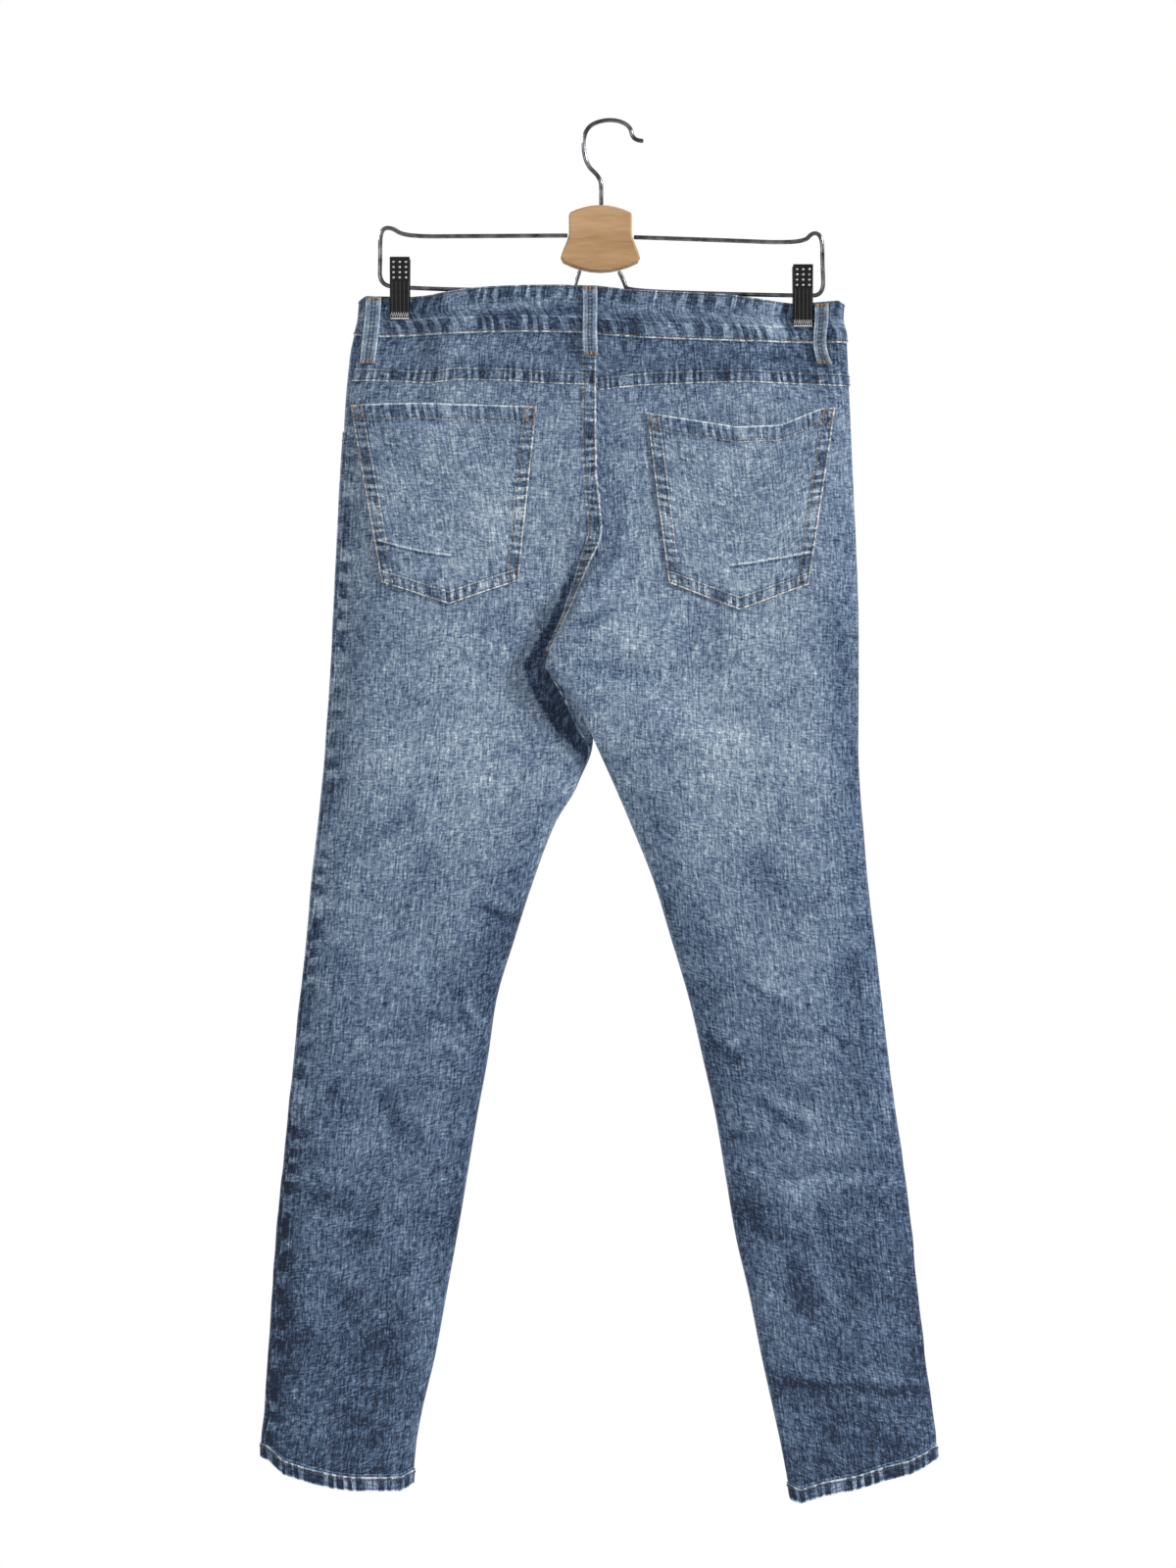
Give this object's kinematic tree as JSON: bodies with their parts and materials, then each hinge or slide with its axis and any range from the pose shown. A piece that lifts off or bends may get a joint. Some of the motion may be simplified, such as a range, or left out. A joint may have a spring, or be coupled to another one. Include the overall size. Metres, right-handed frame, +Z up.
{
  "type": "jeans on clip hanger",
  "caption": "Slim faded denim jeans hung flat by the waistband from a wooden-block clip hanger, back side with patch pockets and yoke.",
  "frame": {"origin": "inner top of the hanger's hook, where the rail carries it", "axes": "+Z up, the back of the jeans faces -Y, the wearer's left leg is at -X"},
  "size_m": [0.5954, 0.0533, 1.2137],
  "materials": {
    "denim": "washed mid blue denim",
    "denim_yoke": "washed mid blue denim, less faded",
    "denim_band": "darker blue denim, two layers",
    "denim_hem": "dark blue denim with worn ridges",
    "wire": "bright plated steel wire",
    "clip": "black moulded plastic",
    "block": "lacquered pale wood",
    "button": "aged brass"
  },
  "bodies": {
    "root": {"back_left": "denim", "back_right": "denim", "front_left": "denim", "front_right": "denim", "yoke_left": "denim_yoke", "yoke_right": "denim_yoke", "waistband": "denim_band", "hem_left": "denim_hem", "hem_right": "denim_hem", "back_pocket_left": "denim", "back_pocket_right": "denim", "belt_loop_back": "denim_band", "belt_loop_back_left": "denim_band", "belt_loop_back_right": "denim_band", "belt_loop_front_left": "denim_band", "belt_loop_front_right": "denim_band", "pocket_facing_left": "denim_yoke", "pocket_facing_right": "denim_yoke", "fly": "denim", "hanger_wire_left": "wire", "hanger_wire_right": "wire", "hanger_hook": "wire", "clip_left_back": "clip", "clip_left_front": "clip", "clip_right_back": "clip", "clip_right_front": "clip", "hanger_block": "block", "waist_button": "button"}
  },
  "joints": []
}
